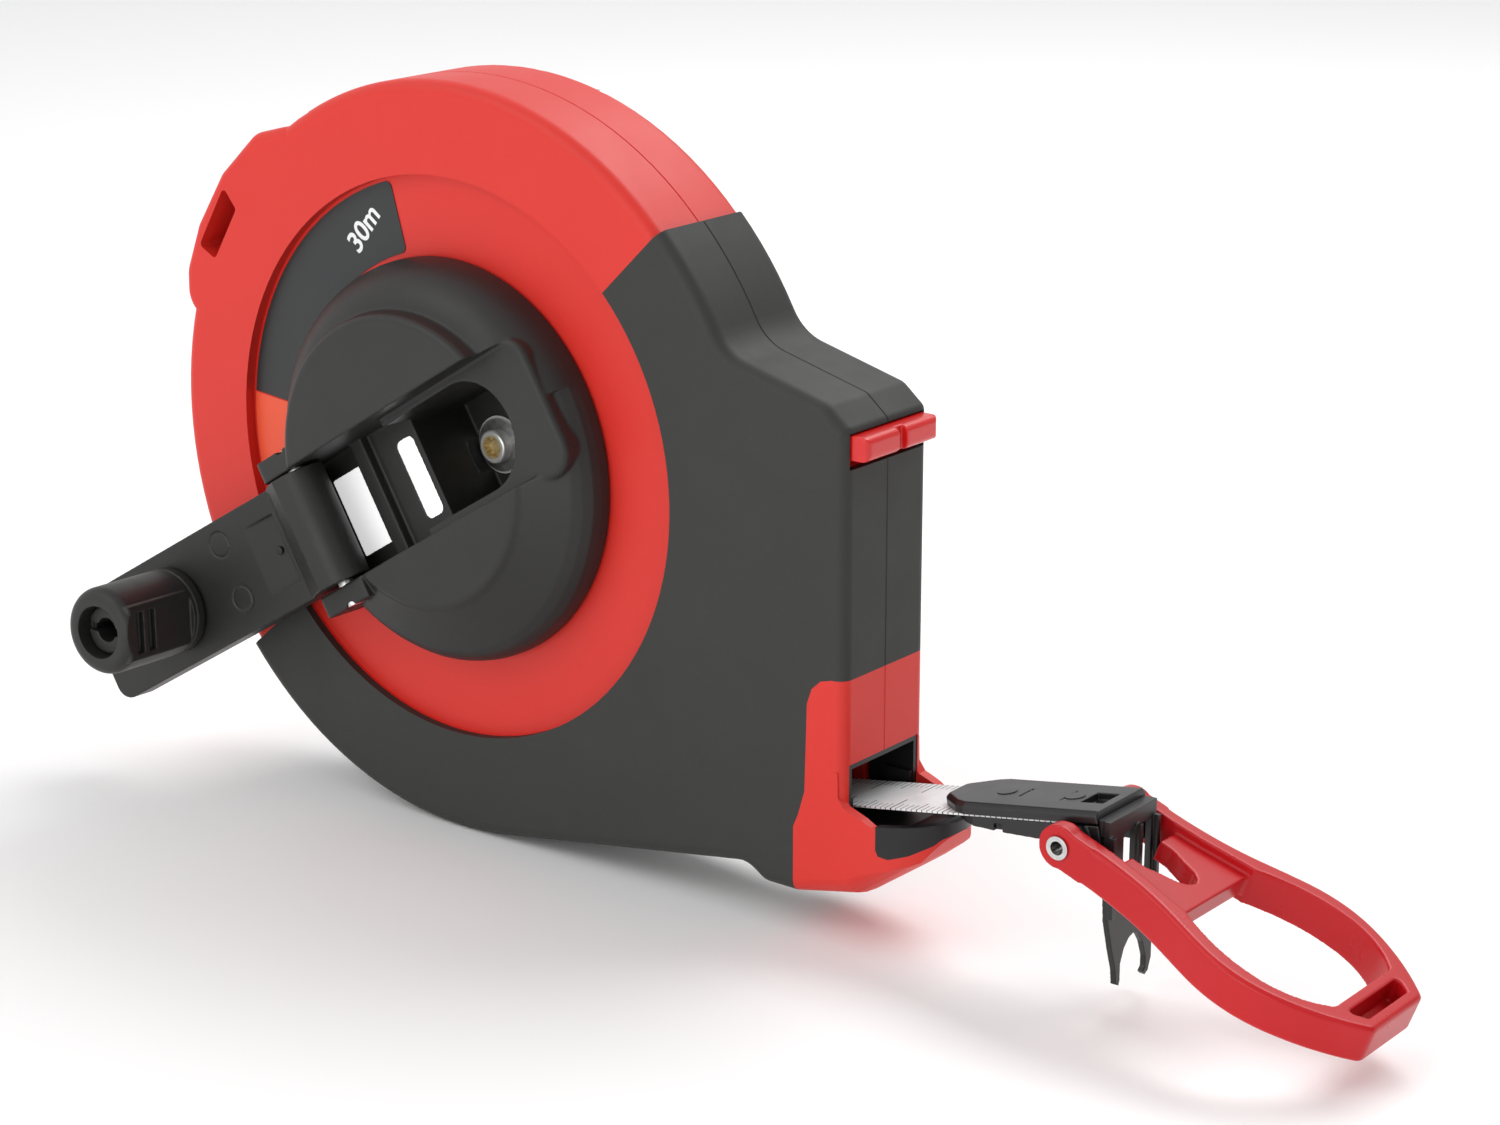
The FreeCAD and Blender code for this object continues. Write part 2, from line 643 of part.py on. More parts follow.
def crank_arm():
    outline = [(0, -ARM_BACK), (ARM_END, -ARM_BACK), (ARM_END, ARM_FACE),
               (8.0, ARM_FACE), (5.2, 3.0), (2.4, ARM_BACK), (0, ARM_BACK)]
    corners = [vec(*arm_point(*point), -ARM_HALF) for point in outline]
    face = Part.Face(Part.makePolygon(corners + corners[:1]))
    arm = face.extrude(vec(0, 0, 2 * ARM_HALF))
    barrel = Part.makeCylinder(ARM_BACK, 2 * ARM_HALF,
                               vec(HINGE_X, HINGE_Y, -ARM_HALF), ALONG_Z)
    arm = arm.fuse(barrel).removeSplitter()
    end_x = HINGE_X - ARM_END
    arm = rounded(arm, 3.0, lambda edge: along(edge, ALONG_Y)
                  and abs(edge.BoundBox.Center.x - end_x) < 0.1)
    face_y = HINGE_Y - ARM_FACE
    back_y = HINGE_Y + ARM_BACK
    wedge = [vec(HINGE_X - 9.0, face_y - 0.4, -6.2), vec(HINGE_X - 9.0, face_y + 0.9, -6.2),
             vec(HINGE_X - 16.5, face_y, -6.2), vec(HINGE_X - 16.5, face_y - 0.4, -6.2)]
    panel = Part.Face(Part.makePolygon(wedge + wedge[:1])).extrude(vec(0, 0, 12.4))
    panel = panel.cut(disc(0.7, face_y, face_y + 1.2, HINGE_X - 10.8, 0))
    marks = [tube(2.4, 2.05, face_y - 1, face_y + 0.22, HINGE_X - 23.0, z) for z in (-4.2, 6.0)]
    hollow = box((HINGE_X - 56.5, HINGE_X - 9.0), (back_y - 2.6, back_y + 1), (-7.6, 7.6))
    hollow = rounded(hollow, 2.0, lambda edge: along(edge, ALONG_Y))
    ribs = [box((HINGE_X - reach, HINGE_X - reach + 1.2),
                (back_y - 2.6, back_y), (-7.6, 7.6)) for reach in (20.0, 31.0, 47.0)]
    stud_seat = disc(STUD_R, -40, 10, HINGE_X - KNOB_AT, 0)
    collar = disc(STUD_R + 2.5, face_y, back_y, HINGE_X - KNOB_AT, 0)
    bore = Part.makeCylinder(HINGE_PIN_R + RUNNING, 40, vec(HINGE_X, HINGE_Y, -20), ALONG_Z)
    arm = arm.cut([panel, hollow] + marks)
    arm = joined([arm, collar] + ribs).cut([bore, stud_seat])
    return to_arm(arm)


def knob_stud():
    """Tubular stud with two snap fingers that keep the knob on."""
    x = HINGE_X - KNOB_AT
    foot = HINGE_Y + ARM_BACK
    top = HINGE_Y - KNOB_END + 2.2
    stud = disc(STUD_R, top, foot, x, 0)
    hook = disc(STUD_R + 0.6, top, top + 1.0, x, 0)
    stud = joined([stud, hook]).cut(disc(2.1, top - 1, foot - 1.5, x, 0))
    gap = box((x - 6, x + 6), (top - 1, top + 8), (-0.7, 0.7))
    gap.rotate(vec(x, 0, 0), ALONG_Y, 35)
    return to_arm(stud.cut(gap))


def crank_knob():
    """Hollow-ended knob with a flat thumb facet on one side."""
    x = HINGE_X - KNOB_AT
    low = HINGE_Y - ARM_FACE - 0.4
    top = HINGE_Y - KNOB_END
    knob = disc(KNOB_R, top, low, x, 0)
    knob = rounded(knob, 2.2, lambda edge: on_plane(edge, top))
    knob = rounded(knob, 0.6, lambda edge: on_plane(edge, low))
    facet = box((x - 5.0, x + 5.0), (top + 0.9, low - 3.0), (2.0, 6.7))
    facet = rounded(facet, 0.6, lambda edge: edge.BoundBox.Center.z > 6.6
                    or (along(edge, ALONG_Z) and edge.BoundBox.Center.y > low - 4))
    trim = box((x - 9, x + 9), (top - 1, low - 3.0), (6.7, 9.0))
    slots = [box((x - 3.6, x + 3.6), (start, start + 1.6), (5.5, 8.0))
             for start in (top + 2.9, top + 5.7)]
    for piece in [facet, trim] + slots:
        piece.rotate(vec(x, 0, 0), ALONG_Y, FACET_TURN)
    mouth = disc(4.6, top - 1, top + 3.4, x, 0)
    bore = disc(STUD_R + RUNNING, top, low + 1, x, 0)
    collar = tube(KNOB_R + 1, KNOB_R - 0.35, low - 2.4, low - 2.0, x, 0)
    knob = joined([knob.cut(trim), facet.cut(slots)]).cut(slots)
    return to_arm(knob.cut([mouth, bore, collar]))


# ---------------------------------------------------------------- lock
def lock_button():
    bar = box((79.9, NOSE_X + 3.0), (1.7, CASE_DEPTH - 1.7), BUTTON_Z)
    bar = rounded(bar, 1.1, lambda edge: edge.BoundBox.Center.x > NOSE_X + 2.5)
    notch = box((NOSE_X + 1.8, NOSE_X + 4), (SEAM - 1.0, SEAM + 1.0), (0, 30))
    stem = box((76.0, 79.9), (7.6, CASE_DEPTH - 7.6), (BUTTON_Z[0] + 0.3, BUTTON_Z[1] - 0.3))
    return joined([bar.cut(notch), stem])


def lock_rod():
    """Flat push rod from the button down to the brake pad."""
    head = box((66.5, 76.0), (8.0, CASE_DEPTH - 8.0), (BUTTON_Z[0] - 3.6, BUTTON_Z[0] - 1.2))
    link = box((74.0, 76.0), (8.0, CASE_DEPTH - 8.0), (BUTTON_Z[0] - 2, BUTTON_Z[1] - 0.3))
    rod = box((66.5, 69.5), (8.0, CASE_DEPTH - 8.0), (-42.0, BUTTON_Z[0] - 1.2))
    slots = [box((66, 70), (SEAM - 1, SEAM + 1), (z, z + 7)) for z in (-36, -24, -12)]
    return joined([head, link, rod]).cut(slots)


def blade_height(x):
    """Z of the blade's middle where it passes x."""
    turn = math.radians(BLADE_SLOPE)
    return -BLADE_R / math.cos(turn) + x * math.tan(turn)


def brake_pad():
    gap = BLADE_T / 2 + BUTTON_TRAVEL + 0.25
    low, high = blade_height(66.0) + gap, blade_height(70.0) + gap
    return prism([(66.0, low), (70.0, high), (70.0, -42.0), (66.0, -42.0)],
                 6.5, CASE_DEPTH - 6.5)


def brake_anvil():
    """Block under the blade that the pad clamps it against."""
    gap = -BLADE_T / 2 - 0.3
    return prism([(62.0, blade_height(62.0) + gap), (72.5, blade_height(72.5) + gap),
                  (72.5, space_floor(72.5)), (62.0, space_floor(62.0))],
                 WALL, CASE_DEPTH - WALL)


# ---------------------------------------------------------------- blade and hook
def blade():
    strip = box((0, BLADE_END), (SEAM - BLADE_W / 2, SEAM + BLADE_W / 2),
                (-BLADE_T / 2, BLADE_T / 2))
    return to_blade(strip.cut(rivet_holes()))


def hook_plan(half, start, end):
    """Blunt-pointed plan of the end fitting, seen from above the blade."""
    side = [(start, half - 4.5), (start + 0.7, half - 3.6), (start + 4.2, half - 0.8),
            (start + 6.2, half), (end, half)]
    near = [(u, SEAM - w) for u, w in side]
    far = [(u, SEAM + w) for u, w in reversed(side)]
    return near + far


def slab(plan, z0, z1):
    corners = [vec(x, y, z0) for x, y in plan]
    face = Part.Face(Part.makePolygon(corners + corners[:1]))
    return face.extrude(vec(0, 0, z1 - z0))


def hook_top_plate():
    low = BLADE_T / 2
    top = low + HOOK_PLATE_T
    plate = slab(hook_plan(6.9, HOOK_START, HOOK_END), low, top)
    edges = [edge for edge in plate.Edges if abs(edge.BoundBox.ZMin - top) < 1e-4
             and edge.BoundBox.Center.x < HOOK_END - 0.5]
    plate = plate.makeChamfer(0.7, edges)
    ring_mark = tube(2.5, 2.0, 0, 1)
    ring_mark.rotate(ORIGIN, ALONG_X, 90)
    ring_mark.translate(vec(105.8, SEAM, top + 0.7))
    window = box((112.9, 117.0), (SEAM - 2.4, SEAM + 2.4), (low + 0.7, top + 1))
    slots = [box((109.0, 109.5), (SEAM - 2.4, SEAM + 2.4), (top - 0.3, top + 1)),
             box((101.2, 101.8), (SEAM - 2.0, SEAM + 2.0), (top - 0.3, top + 1))]
    return to_blade(plate.cut([window, ring_mark] + slots).cut(rivet_holes()))


def rivet_holes():
    return [Part.makeCylinder(1.1, 12, vec(u, SEAM, -6), ALONG_Z) for u in RIVETS_AT]


def hook_body():
    """Lower half of the end fitting, with a cheek on each side for the ring's pivots."""
    top = -BLADE_T / 2
    side = [(HOOK_START + 3.0, top), (HOOK_START + 3.0, top - 0.9), (101.0, top - 2.2),
            (110.6, top - 3.0), (112.0, top - 5.6), (HOOK_END, top - 5.6), (HOOK_END, top)]
    body = prism(side, SEAM - 6.75, SEAM + 6.75)
    plan = slab(hook_plan(6.75, HOOK_START + 1.5, 130), -20, 5)
    body = to_blade(body.common(plan))
    boss = disc(3.2, SEAM - 7.8, SEAM + 7.8, PIVOT_X, PIVOT_Z)
    boss = boss.cut(to_blade(box((90, 130), (0, CASE_DEPTH), (top, 20))))
    between = to_blade(box((112.6, 135), (SEAM - CHEEK_IN, SEAM + CHEEK_IN), (-20, top - 1.3)))
    bore = disc(RING_PIN_R, -5, CASE_DEPTH + 5, PIVOT_X, PIVOT_Z)
    notch = to_blade(box((99.5, 101.0), (0, SEAM - 5.9), (top - 3, top - 0.8)))
    end = box((CLAW_BACK - 0.1, 140), (-5, 30), (-60, -20))
    holes = [to_blade(hole) for hole in rivet_holes()]
    return joined([body, boss]).cut([bore, notch, between, end] + holes)


def hook_claws():
    """Upright plate with two gaps between three fins and two hooked talons below."""
    half = 6.6
    left, right = SEAM - half, SEAM + half
    top_z = -34.6
    outline = [
        (left, top_z), (right, top_z), (right, -56.5), (right - 0.1, -60.6),
        (right - 0.8, -62.5), (right - 1.7, -63.0), (right - 2.3, -62.4), (right - 1.6, -61.6),
        (right - 1.7, -59.8), (right - 2.7, -57.2), (right - 4.0, -55.4), (SEAM + 1.2, -54.8),
        (SEAM - 0.2, -55.2), (SEAM - 1.4, -56.4), (SEAM - 2.4, -58.8), (SEAM - 2.3, -61.2),
        (SEAM - 2.6, -62.2), (SEAM - 3.4, -61.8), (SEAM - 3.7, -59.4), (left + 1.6, -55.4),
        (left + 0.3, -50.7), (left, -47.0),
    ]
    corners = [vec(CLAW_BACK, y, z) for y, z in outline]
    face = Part.Face(Part.makePolygon(corners + corners[:1]))
    plate = face.extrude(vec(CLAW_FRONT - CLAW_BACK, 0, 0))
    gaps = [box((120, 132), (8.4, 11.7), (-48.0, -37.4)),
            box((120, 132), (12.8, 16.1), (-48.0, -37.4))]
    web = box((124.4, CLAW_BACK), (left + 0.2, right - 0.2), (-37.2, top_z))
    keep_out = to_blade(box((60, HOOK_END), (0, CASE_DEPTH), (-8, 3)))
    ribs = [box((CLAW_FRONT, CLAW_FRONT + 0.8), (y, y + 0.8), (-50.0, -37.0))
            for y in (left, 11.85, right - 0.8)]
    claws = joined([plate.cut(gaps), web.cut(keep_out)] + ribs)
    return claws.cut(disc(3.2, -1, CASE_DEPTH + 1, PIVOT_X, PIVOT_Z)).removeSplitter()


def hook_rivets():
    rivets = []
    top = BLADE_T / 2 + HOOK_PLATE_T
    for u, low in zip(RIVETS_AT, (-BLADE_T / 2 - 1.4, -BLADE_T / 2 - 2.6)):
        shank = Part.makeCylinder(1.1, top - low, vec(u, SEAM, low), ALONG_Z)
        head = Part.makeCylinder(1.6, 0.12, vec(u, SEAM, top), ALONG_Z)
        rivets.append(to_blade(shank.fuse(head)))
    return Part.makeCompound(rivets)


def ring_pin():
    """Two tubular rivets with flared ends, one through each cheek."""
    reach = SEAM - CHEEK_IN
    rivets = []
    for low, high, head in ((-0.25, reach, -0.25), (CASE_DEPTH - reach, CASE_DEPTH + 0.25,
                                                     CASE_DEPTH)):
        body = disc(RING_PIN_R, low, high, PIVOT_X, PIVOT_Z)
        flare = disc(1.85, head, head + 0.25, PIVOT_X, PIVOT_Z)
        core = disc(1.1, low - 1, high + 1, PIVOT_X, PIVOT_Z)
        rivets.append(joined([body, flare]).cut(core))
    return Part.makeCompound(rivets)


# ---------------------------------------------------------------- pull ring
def smooth_loop(points):
    """Closed flat face whose long sides are smooth curves through (x, half) points."""
    one_side = [vec(x, half, 0) for x, half in points]
    other_side = [vec(x, -half, 0) for x, half in points]
    curve_a = Part.BSplineCurve()
    curve_a.interpolate(one_side)
    curve_b = Part.BSplineCurve()
    curve_b.interpolate(other_side)
    edges = [curve_a.toShape(), Part.makeLine(one_side[-1], other_side[-1]),
             curve_b.toShape(), Part.makeLine(other_side[0], one_side[0])]
    return Part.Face(Part.Wire(Part.__sortEdges__(edges)))


def thick(face, low, high):
    solid = face.extrude(vec(0, 0, high - low))
    solid.translate(vec(0, 0, low))
    return solid


def pull_ring():
    half_t = RING_HALF_T
    outer = thick(smooth_loop([(5, RING_HALF_W), (11, 11.2), (18, 12.4), (25, 14.6),
                               (31, 16.2), (38, 16.1), (44, 14.1), (50, 10.6),
                               (RING_END, 7.3)]), -half_t, half_t)
    outer = rounded(outer, 1.6, lambda edge: along(edge, ALONG_Z)
                    and edge.BoundBox.Center.x > RING_END - 0.1)
    outer = outer.makeChamfer(0.5, [edge for edge in outer.Edges
                                    if not along(edge, ALONG_Z)
                                    and edge.BoundBox.Center.x > 5.5])
    inner_half = RING_HALF_W - RING_WALL
    arms = [box((0, 5.2), sorted_pair(side * RING_HALF_W, side * inner_half),
                (-half_t, half_t)) for side in (-1, 1)]
    eyes = [disc(3.5, *sorted_pair(side * RING_HALF_W, side * inner_half))
            for side in (-1, 1)]
    fork = box((-10, 8.6), (-inner_half, inner_half), (-10, 10))
    finger = thick(smooth_loop([(21.4, 9.6), (25.0, 11.4), (30.0, 13.0), (35.0, 13.6),
                                (40.0, 13.0), (44.0, 11.2), (47.6, 8.0)]), -10, 10)
    finger = rounded(finger, 2.0, lambda edge: along(edge, ALONG_Z))
    body = joined([outer.cut(fork)] + arms + eyes)
    relief_plan = [(8.0, -inner_half), (13.0, -8.6), (21.9, -10.0), (21.9, 10.0), (13.0, 8.6),
                   (8.0, inner_half)]
    reliefs = [slab(relief_plan, half_t - 1.6, half_t + 1),
               slab(relief_plan, -half_t - 1, -half_t + 1.4)]
    pocket = rounded(slab([(49.2, -7.6), (52.0, -5.8), (52.0, 5.8), (49.2, 7.6)], -0.8, half_t + 1),
                     0.6, lambda edge: along(edge, ALONG_Z))
    notch = box((6, 11.0), (-4.0, 4.0), (-10, 10)).fuse([
        slab([(10.9, -4.0), (13.6, -3.0), (16.4, -2.2), (16.4, 2.2), (13.6, 3.0), (10.9, 4.0)],
             -10, 10),
        Part.makeCylinder(2.0, 20, vec(15.8, 0, -10), ALONG_Z)])
    ring = body.cut(reliefs + [finger, pocket, notch])
    ring = ring.cut(disc(RING_PIN_R + RUNNING, -20, 20))
    return to_ring(ring)


def sorted_pair(a, b):
    return (min(a, b), max(a, b))


# ---------------------------------------------------------------- export
NODES = {
    "front_shell": front_shell,
    "back_shell": back_shell,
    "front_grip": grip_half,
    "back_grip": back_grip,
    "mouth_liner": mouth_liner,
    "case_screws": case_screws,
    "label_sticker": lambda: label(106.0, 174.6, 106.0),
    "label_end_band": lambda: label(174.9, 195.0, 195.0),
    "axle_post": axle_post,
    "hub_washer": hub_washer,
    "hub_screw": hub_screw,
    "brake_anvil": brake_anvil,
    "axle_bush": axle_bush,
    "drum_core": drum_core,
    "front_flange": drum_flange,
    "back_flange": lambda: mirrored(drum_flange()),
    "blade_winding": blade_winding,
    "crank_hub": crank_hub,
    "window_plates": window_plates,
    "crank_hinge_pin": crank_hinge_pin,
    "crank_arm": crank_arm,
    "knob_stud": knob_stud,
    "crank_knob": crank_knob,
    "lock_button": lock_button,
    "lock_rod": lock_rod,
    "brake_pad": brake_pad,
    "blade": blade,
    "hook_top_plate": hook_top_plate,
    "hook_body": hook_body,
    "hook_claws": hook_claws,
    "hook_rivets": hook_rivets,
    "ring_pin": ring_pin,
    "pull_ring": pull_ring,
}


def main():
    os.makedirs("parts", exist_ok=True)
    for name, make in NODES.items():
        shape = make()
        shape.translate(vec(0, -CASE_DEPTH, 0))
        shape.exportStep(os.path.join("parts", name + ".step"))
        bounds = shape.BoundBox
        print("%-16s solids %d valid %s volume %8.1f x %.1f..%.1f y %.1f..%.1f z %.1f..%.1f" % (
            name, len(shape.Solids), shape.isValid(), shape.Volume, bounds.XMin, bounds.XMax,
            bounds.YMin, bounds.YMax, bounds.ZMin, bounds.ZMax))


main()
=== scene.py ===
import bpy
import json
import math
from mathutils import Matrix, Vector


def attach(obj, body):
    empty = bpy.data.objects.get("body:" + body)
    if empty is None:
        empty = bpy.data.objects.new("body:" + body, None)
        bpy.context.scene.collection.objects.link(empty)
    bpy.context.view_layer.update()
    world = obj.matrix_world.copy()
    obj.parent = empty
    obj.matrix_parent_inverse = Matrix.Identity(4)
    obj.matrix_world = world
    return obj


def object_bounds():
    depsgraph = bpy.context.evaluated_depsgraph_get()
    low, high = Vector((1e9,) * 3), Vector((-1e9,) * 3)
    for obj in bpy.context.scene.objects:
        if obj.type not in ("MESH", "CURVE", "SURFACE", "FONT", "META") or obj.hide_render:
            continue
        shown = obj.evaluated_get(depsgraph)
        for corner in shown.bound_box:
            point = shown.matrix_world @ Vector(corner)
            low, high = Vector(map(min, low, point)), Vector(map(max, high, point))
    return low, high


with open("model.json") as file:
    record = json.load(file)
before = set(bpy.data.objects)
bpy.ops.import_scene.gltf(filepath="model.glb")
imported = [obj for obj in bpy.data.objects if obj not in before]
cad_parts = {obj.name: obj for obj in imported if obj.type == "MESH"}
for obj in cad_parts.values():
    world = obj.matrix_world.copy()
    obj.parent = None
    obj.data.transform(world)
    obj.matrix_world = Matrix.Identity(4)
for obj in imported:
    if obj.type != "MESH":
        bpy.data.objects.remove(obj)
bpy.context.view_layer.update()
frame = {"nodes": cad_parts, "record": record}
NODES = frame["nodes"]

MM = 0.001

# ------------------------------------------------------------------ camera, light, floor numbers
CAMERA_AT = (0.3710, -0.4120, 0.1480)
CAMERA_AIM = (0.064232, -0.022, -0.005436)
CAMERA_LENS = 80.0
SENSOR_WIDTH = 36.0
CAMERA_REACH = (0.02, 20.0)

# Soft lights: place, aim, size in metres, power in watts
LIGHTS = {
    "key": ((-0.35, -0.75, 0.75), (0.03, -0.02, 0.0), (0.7, 0.5), 1.9),
    "front": ((0.12, -0.95, 0.12), (0.02, -0.02, -0.01), (0.9, 0.35), 1.9),
    "fill": ((0.85, -0.35, 0.35), (0.05, -0.02, 0.0), (0.3, 0.9), 0.5),
    "rim": ((0.15, 0.55, 0.75), (0.03, -0.02, 0.0), (0.9, 0.4), 5.0),
}
SKY_STRENGTH = (0.88, 0.26)     # over the back half, and where the nose points
SKY_FADE_END = 0.9              # X of the view direction at which the sky is dimmest
FLOOR_HALF = 4.0
FLOOR_WHITE = (0.98, 0.98, 0.98, 1.0)

# ------------------------------------------------------------------ object numbers
BLADE_MIDDLE_Y = -0.011         # also the plane between the halves of the case
BLADE_HALF_WIDTH = 6.3          # mm, where the ticks start
BLADE_SLOPE = math.radians(9.9)
BLADE_INK = (0.02, 0.02, 0.022)
TICKS = ((1.0, 2.0, 0.16), (5.0, 3.1, 0.2), (10.0, 4.4, 0.26))  # mm: spacing, length, width
SOCKET_RADIUS = 2.05            # mm, yellow middle of the hub's screw

LABEL_Y = -0.02015              # printed face of the label
LABEL_TURN = 54.0               # degrees, the label's lettering rises this much above +X
LABEL_MARK = (-0.0181, 0.0357)  # x and z of the length marking
LETTER_HEIGHT = 5.2             # mm
LETTER_THICKNESS = 0.02         # mm, to each side of LABEL_Y
LETTER_SWELL = 0.1              # mm, makes the strokes bolder

EDGE_ANGLE = 28.0               # degrees, sharper edges stay hard

# Pieces whose edges are rounded: node, voxel in mm, rounds of smoothing, share of faces kept
SOFT_NODES = {
    "crank_hub": (0.22, 4, 0.18),
    "crank_arm": (0.15, 4, 0.3),
    "crank_knob": (0.14, 4, 0.6),
    "knob_stud": (0.15, 3, 1.0),
    "pull_ring": (0.2, 8, 1.0),
    "hook_top_plate": (0.13, 4, 1.0),
    "hook_body": (0.15, 4, 1.0),
    "hook_claws": (0.1, 3, 1.0),
    "lock_button": (0.14, 6, 1.0),
}

# Noise scales, in features a metre
DRIFT = 45.0                    # slow change of colour over a moulding
WINDOW_DRIFT = 60.0
PATCHES = 160.0                 # polished and dull patches
LACQUER = 300.0
WEAR = 900.0                    # fine scratches and stains
ROLLING = 1400.0                # surface of the screw
ORANGE_PEEL = 1500.0            # surface of the lacquer
WINDOW_GRAIN = 2600.0
RAMP_ENDS = (0.3, 0.7)          # noise values that give the first and the last colour


# ------------------------------------------------------------------ camera, light, floor
def look(loc, target):
    """Rotation that points an object's -Z at a target, with its X level."""
    return (Vector(target) - Vector(loc)).to_track_quat("-Z", "Y").to_euler()


def add_camera():
    cam = bpy.data.cameras.new("camera")
    cam.lens = CAMERA_LENS
    cam.sensor_width = SENSOR_WIDTH
    cam.clip_start, cam.clip_end = CAMERA_REACH
    obj = bpy.data.objects.new("camera", cam)
    obj.location = CAMERA_AT
    obj.rotation_euler = look(CAMERA_AT, CAMERA_AIM)
    bpy.context.scene.collection.objects.link(obj)
    bpy.context.scene.camera = obj


def add_area(name, loc, target, size, power):
    light = bpy.data.lights.new(name, "AREA")
    light.shape = "RECTANGLE"
    light.size, light.size_y = size
    light.energy = power
    obj = bpy.data.objects.new(name, light)
    obj.location = loc
    obj.rotation_euler = look(loc, target)
    bpy.context.scene.collection.objects.link(obj)


def add_sky():
    """White surroundings, dimmer on the side that the nose faces."""
    world = bpy.data.worlds.new("studio")
    world.use_nodes = True
    tree = world.node_tree
    back = tree.nodes["Background"]
    back.inputs["Color"].default_value = (1.0, 1.0, 1.0, 1.0)
    coord = tree.nodes.new("ShaderNodeTexCoord")
    split = tree.nodes.new("ShaderNodeSeparateXYZ")
    fade = tree.nodes.new("ShaderNodeMapRange")
    fade.inputs["From Min"].default_value = 0.0
    fade.inputs["From Max"].default_value = SKY_FADE_END
    fade.inputs["To Min"].default_value = SKY_STRENGTH[0]
    fade.inputs["To Max"].default_value = SKY_STRENGTH[1]
    tree.links.new(coord.outputs["Generated"], split.inputs["Vector"])
    tree.links.new(split.outputs["X"], fade.inputs["Value"])
    tree.links.new(fade.outputs["Result"], back.inputs["Strength"])
    bpy.context.scene.world = world


def add_floor():
    """Plain pale floor under the lowest point of the object."""
    floor_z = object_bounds()[0][2]
    mesh = bpy.data.meshes.new("floor")
    corners = [(-FLOOR_HALF, -FLOOR_HALF, floor_z), (FLOOR_HALF, -FLOOR_HALF, floor_z),
               (FLOOR_HALF, FLOOR_HALF, floor_z), (-FLOOR_HALF, FLOOR_HALF, floor_z)]
    mesh.from_pydata(corners, [], [(0, 1, 2, 3)])
    floor = bpy.data.objects.new("floor", mesh)
    bpy.context.scene.collection.objects.link(floor)
    paint = bpy.data.materials.new("floor_paint")
    paint.use_nodes = True
    shader = paint.node_tree.nodes["Principled BSDF"]
    shader.inputs["Base Color"].default_value = FLOOR_WHITE
    shader.inputs["Roughness"].default_value = 0.7
    mesh.materials.append(paint)


def add_studio():
    add_sky()
    bpy.context.scene.view_settings.view_transform = "Standard"
    for name, (loc, target, size, power) in LIGHTS.items():
        add_area(name, loc, target, size, power)
    add_floor()


# ------------------------------------------------------------------ materials
class Paint:
    """A Principled material and short calls to build its nodes."""

    def __init__(self, name, rough, metallic=0.0, coat=0.0, specular=0.5):
        self.mat = bpy.data.materials.new(name)
        self.mat.use_nodes = True
        self.tree = self.mat.node_tree
        self.shader = self.tree.nodes["Principled BSDF"]
        self.shader.inputs["Roughness"].default_value = rough
        self.shader.inputs["Metallic"].default_value = metallic
        self.shader.inputs["Coat Weight"].default_value = coat
        self.shader.inputs["Specular IOR Level"].default_value = specular
        self.coord = self.tree.nodes.new("ShaderNodeTexCoord").outputs["Object"]

    def link(self, out, to):
        self.tree.links.new(out, to)

    def noise(self, scale, detail=3.0, rough=0.6):
        node = self.tree.nodes.new("ShaderNodeTexNoise")
        node.inputs["Scale"].default_value = scale
        node.inputs["Detail"].default_value = detail
        node.inputs["Roughness"].default_value = rough
        self.link(self.coord, node.inputs["Vector"])
        return node.outputs["Fac"]

    def cells(self, scale):
        node = self.tree.nodes.new("ShaderNodeTexVoronoi")
        node.inputs["Scale"].default_value = scale
        self.link(self.coord, node.inputs["Vector"])
        return node.outputs["Distance"]

    def speckle(self, scale, dark, light):
        """Noise in two colours, with soft steps between them."""
        node = self.tree.nodes.new("ShaderNodeValToRGB")
        for point, place, colour in zip(node.color_ramp.elements, RAMP_ENDS, (dark, light)):
            point.position = place
            point.color = (*colour, 1)
        self.link(self.noise(scale), node.inputs["Fac"])
        return node.outputs["Color"]

    def math(self, kind, *values):
        """A Math node whose inputs are numbers or other nodes' outputs."""
        node = self.tree.nodes.new("ShaderNodeMath")
        node.operation = kind
        for slot, value in enumerate(values):
            if isinstance(value, (int, float)):
                node.inputs[slot].default_value = value
            else:
                self.link(value, node.inputs[slot])
        return node.outputs["Value"]

    def mix(self, factor, a, b):
        """Two colours, each a triple or another node's output."""
        node = self.tree.nodes.new("ShaderNodeMix")
        node.data_type = "RGBA"
        self.link(factor, node.inputs["Factor"])
        for key, value in (("A", a), ("B", b)):
            socket = [s for s in node.inputs if s.name == key and s.type == "RGBA"][0]
            if isinstance(value, tuple):
                socket.default_value = (*value, 1)
            else:
                self.link(value, socket)
        return [s for s in node.outputs if s.type == "RGBA"][0]

    def axes(self):
        node = self.tree.nodes.new("ShaderNodeSeparateXYZ")
        self.link(self.coord, node.inputs["Vector"])
        return node.outputs["X"], node.outputs["Y"], node.outputs["Z"]

    def colour(self, out):
        self.link(out, self.shader.inputs["Base Color"])

    def roughness(self, value, low, high):
        node = self.tree.nodes.new("ShaderNodeMapRange")
        node.inputs["To Min"].default_value = low
        node.inputs["To Max"].default_value = high
        self.link(value, node.inputs["Value"])
        self.link(node.outputs["Result"], self.shader.inputs["Roughness"])

    def bump(self, *layers):
        """Layers of (value, strength, distance in mm)."""
        normal = None
        for value, strength, distance in layers:
            node = self.tree.nodes.new("ShaderNodeBump")
            node.inputs["Strength"].default_value = strength
            node.inputs["Distance"].default_value = distance * MM
            self.link(value, node.inputs["Height"])
            if normal is not None:
                self.link(normal, node.inputs["Normal"])
            normal = node.outputs["Normal"]
        self.link(normal, self.shader.inputs["Normal"])


